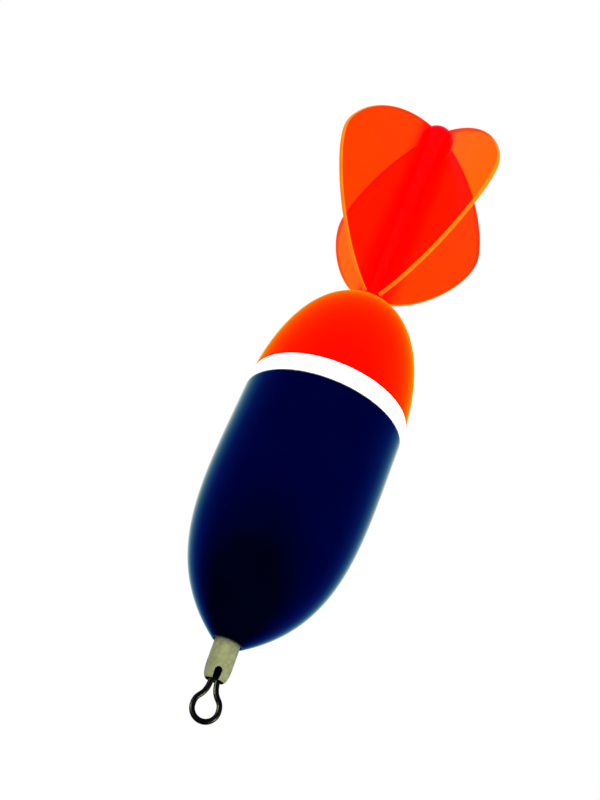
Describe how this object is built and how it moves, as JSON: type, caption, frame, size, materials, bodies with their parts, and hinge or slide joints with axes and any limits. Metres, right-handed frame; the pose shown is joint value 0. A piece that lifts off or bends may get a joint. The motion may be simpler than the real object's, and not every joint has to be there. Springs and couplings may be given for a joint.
{
  "type": "bobber float",
  "caption": "Hollow fishing float with a rounded dome over a tapered hull, a four-fin flight on top and a swivel eye in a soft sleeve at its tail.",
  "frame": {"origin": "on the float's axis, level with where the line bears on the inside of the swivel's eye, which hangs about a millimetre to one side at rest", "axes": "+Z along the float's axis from the eye to the flight; the flight's fins lie in the XZ and YZ planes"},
  "size_m": [0.0518, 0.0518, 0.1594],
  "materials": {
    "navy_plastic": "gloss lacquered navy blue",
    "white_plastic": "gloss white",
    "red_plastic": "gloss fluorescent orange-red",
    "flight_plastic": "translucent fluorescent orange moulding",
    "inner_plastic": "natural moulded plastic",
    "stem_fibre": "black glass-fibre tube",
    "sleeve_rubber": "cream soft moulding, slightly gritty",
    "brass": "turned brass",
    "black_nickel": "black nickel plated wire",
    "steel": "plain steel pin"
  },
  "bodies": {
    "float": {"hull": "navy_plastic", "joint_ring": "white_plastic", "dome": "red_plastic", "stem_tube": "stem_fibre", "flight_socket": "inner_plastic", "ballast_weight": "brass", "tail_plug": "inner_plastic", "swivel_pin": "steel", "tail_sleeve": "sleeve_rubber", "swivel_barrel": "black_nickel", "swivel_inner_eye": "black_nickel"},
    "flight": {"flight": "flight_plastic"},
    "line_eye": {"line_eye": "black_nickel"}
  },
  "joints": [
    {"name": "flight_pull", "type": "slide", "parent": "float", "child": "flight", "axis": [0, 0, 1], "range_m": [0, 0.013]},
    {"name": "eye_swivel", "type": "hinge", "parent": "float", "child": "line_eye", "pos_m": [0.00027, -0.00018, 0.00857], "axis": [-0.0408, 0.0268, 0.9988], "continuous": true}
  ]
}
